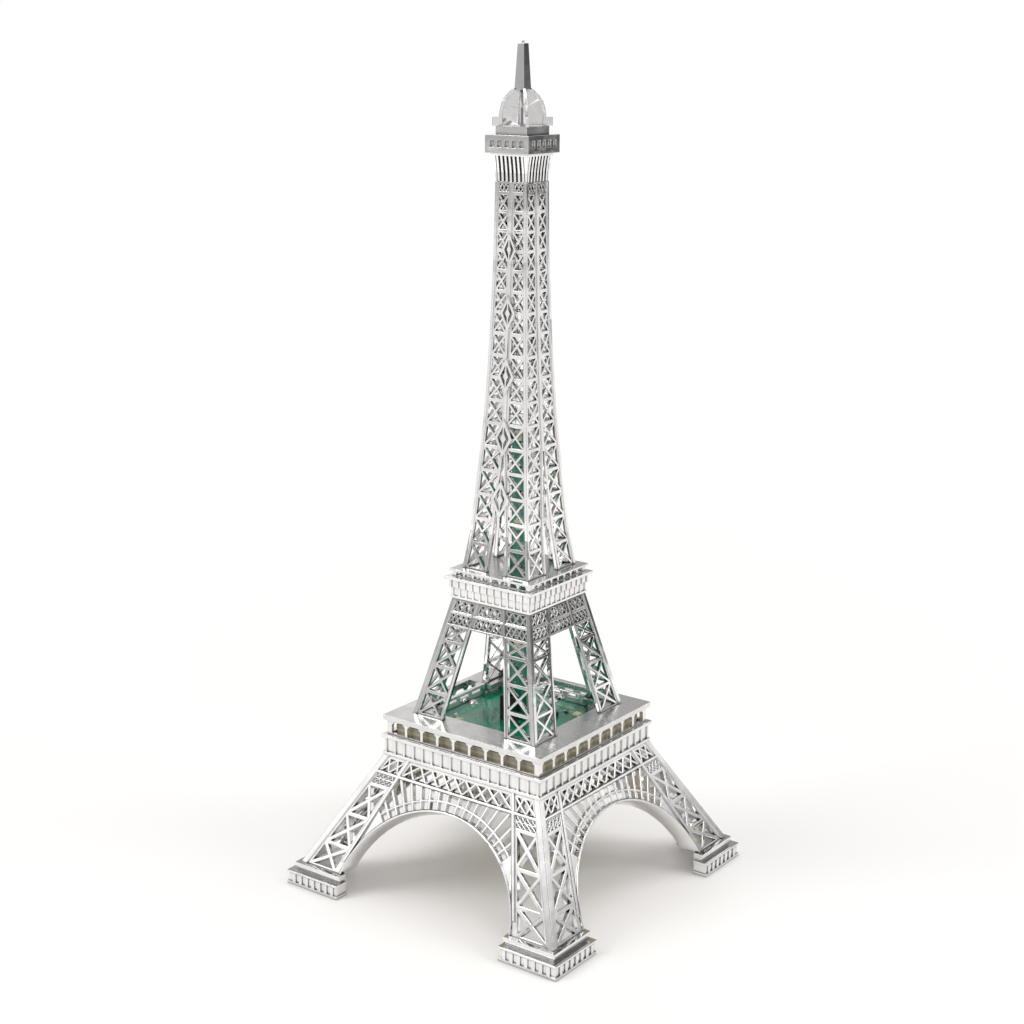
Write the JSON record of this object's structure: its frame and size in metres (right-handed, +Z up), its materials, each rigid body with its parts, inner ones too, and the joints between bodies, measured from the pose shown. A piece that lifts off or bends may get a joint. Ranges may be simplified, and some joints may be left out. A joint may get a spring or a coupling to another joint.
{
  "type": "miniature lattice tower",
  "caption": "Silver souvenir lattice tower on splayed arched legs, with square platforms, a tapering shaft, a domed summit and a battery-lit green lamp board inside.",
  "frame": {"origin": "on the table, at the centre of the four feet, on the tower's axis", "axes": "+Z up the tower, -Y towards the side that carries the raised ornaments, +X to that side's right"},
  "size_m": [0.1226, 0.1226, 0.3048],
  "materials": {
    "metallised_silver": "vacuum-metallised mirror silver over moulded plastic",
    "cream_plastic": "plain moulded, fine satin",
    "green_board": "glossy green solder mask",
    "lamp_yellow": "pale yellow phosphor resin",
    "black_plastic": "matt moulded",
    "cell_jacket": "plain shrink jacket",
    "red_wire": "insulated wire",
    "nickel_steel": "nickel-plated steel"
  },
  "bodies": {
    "tower": {"foot_front_left": "metallised_silver", "foot_front_right": "metallised_silver", "foot_back_right": "metallised_silver", "foot_back_left": "metallised_silver", "base_panel_front": "metallised_silver", "base_panel_right": "metallised_silver", "base_panel_back": "metallised_silver", "base_panel_left": "metallised_silver", "deck_console": "metallised_silver", "deck_gallery": "metallised_silver", "deck_plate": "metallised_silver", "mid_panel_front": "metallised_silver", "mid_panel_right": "metallised_silver", "mid_panel_back": "metallised_silver", "mid_panel_left": "metallised_silver", "terrace_console": "metallised_silver", "terrace_gallery": "metallised_silver", "terrace_plate": "metallised_silver", "shaft_panel_front": "metallised_silver", "shaft_panel_right": "metallised_silver", "shaft_panel_back": "metallised_silver", "shaft_panel_left": "metallised_silver", "capital": "metallised_silver", "summit_gallery": "metallised_silver", "summit_block": "metallised_silver", "dome_fin_a": "metallised_silver", "dome_fin_b": "metallised_silver", "spire": "metallised_silver", "battery_tray": "cream_plastic", "door_pin": "nickel_steel", "battery_cells": "cell_jacket", "contact_plates": "nickel_steel", "contact_springs": "nickel_steel", "leads": "red_wire", "switch_body": "black_plastic", "main_board": "green_board", "board_screws": "nickel_steel", "board_chips": "black_plastic", "corner_lamps": "lamp_yellow", "board_socket": "black_plastic", "column_board": "green_board", "column_lamps": "lamp_yellow"},
    "door": {"battery_door": "cream_plastic"},
    "lever": {"switch_lever": "black_plastic"}
  },
  "joints": [
    {"name": "door_hinge", "type": "hinge", "parent": "tower", "child": "door", "pos_m": [0.00275, 0.02, 0.047], "axis": [1, 0, 0], "range_deg": [0, 85]},
    {"name": "switch_slide", "type": "slide", "parent": "tower", "child": "lever", "axis": [1, 0, 0], "range_m": [0, 0.0024]}
  ]
}
